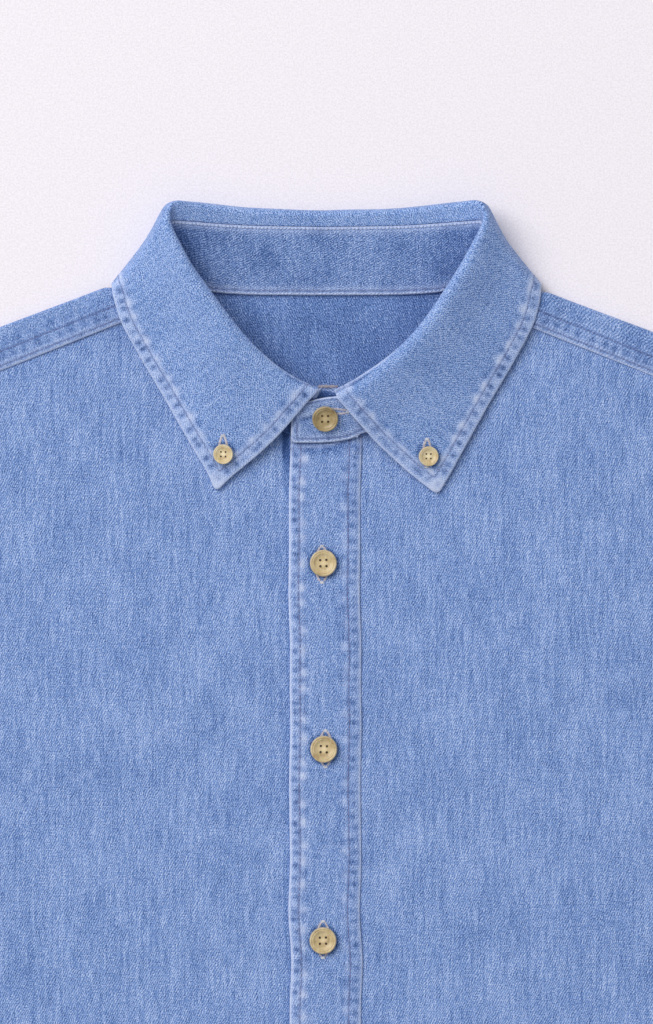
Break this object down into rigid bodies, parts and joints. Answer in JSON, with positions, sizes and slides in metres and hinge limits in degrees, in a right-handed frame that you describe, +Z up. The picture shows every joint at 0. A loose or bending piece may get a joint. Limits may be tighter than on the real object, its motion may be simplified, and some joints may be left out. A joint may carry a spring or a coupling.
{
  "type": "denim shirt, buttoned and laid flat",
  "caption": "Long-sleeved denim shirt with a button-down collar, placket and cuffs, buttoned and laid flat on its back.",
  "frame": {"origin": "middle of the shirt's outline, on the surface it lies on", "axes": "+Z up from the surface; +X to the wearer's left, the longest side; +Y from the hem up to the collar"},
  "size_m": [1.2938, 0.8204, 0.027],
  "materials": {
    "denim": "washed mid-blue twill",
    "denim_bands": "washed mid-blue twill, worn pale along the edges",
    "horn": "horn-coloured, satin"
  },
  "bodies": {
    "root": {"back": "denim", "yoke": "denim", "front_left": "denim", "front_right": "denim", "sleeve_left": "denim", "sleeve_right": "denim", "placket": "denim_bands", "collar_stand": "denim_bands", "collar_fall": "denim_bands", "cuff_left": "denim_bands", "cuff_right": "denim_bands", "sleeve_placket_left": "denim_bands", "sleeve_placket_right": "denim_bands", "button_stand": "horn", "button_1": "horn", "button_2": "horn", "button_3": "horn", "button_4": "horn", "button_5": "horn", "button_6": "horn", "button_collar_left": "horn", "button_collar_right": "horn", "button_cuff_left": "horn", "button_cuff_right": "horn"}
  },
  "joints": []
}
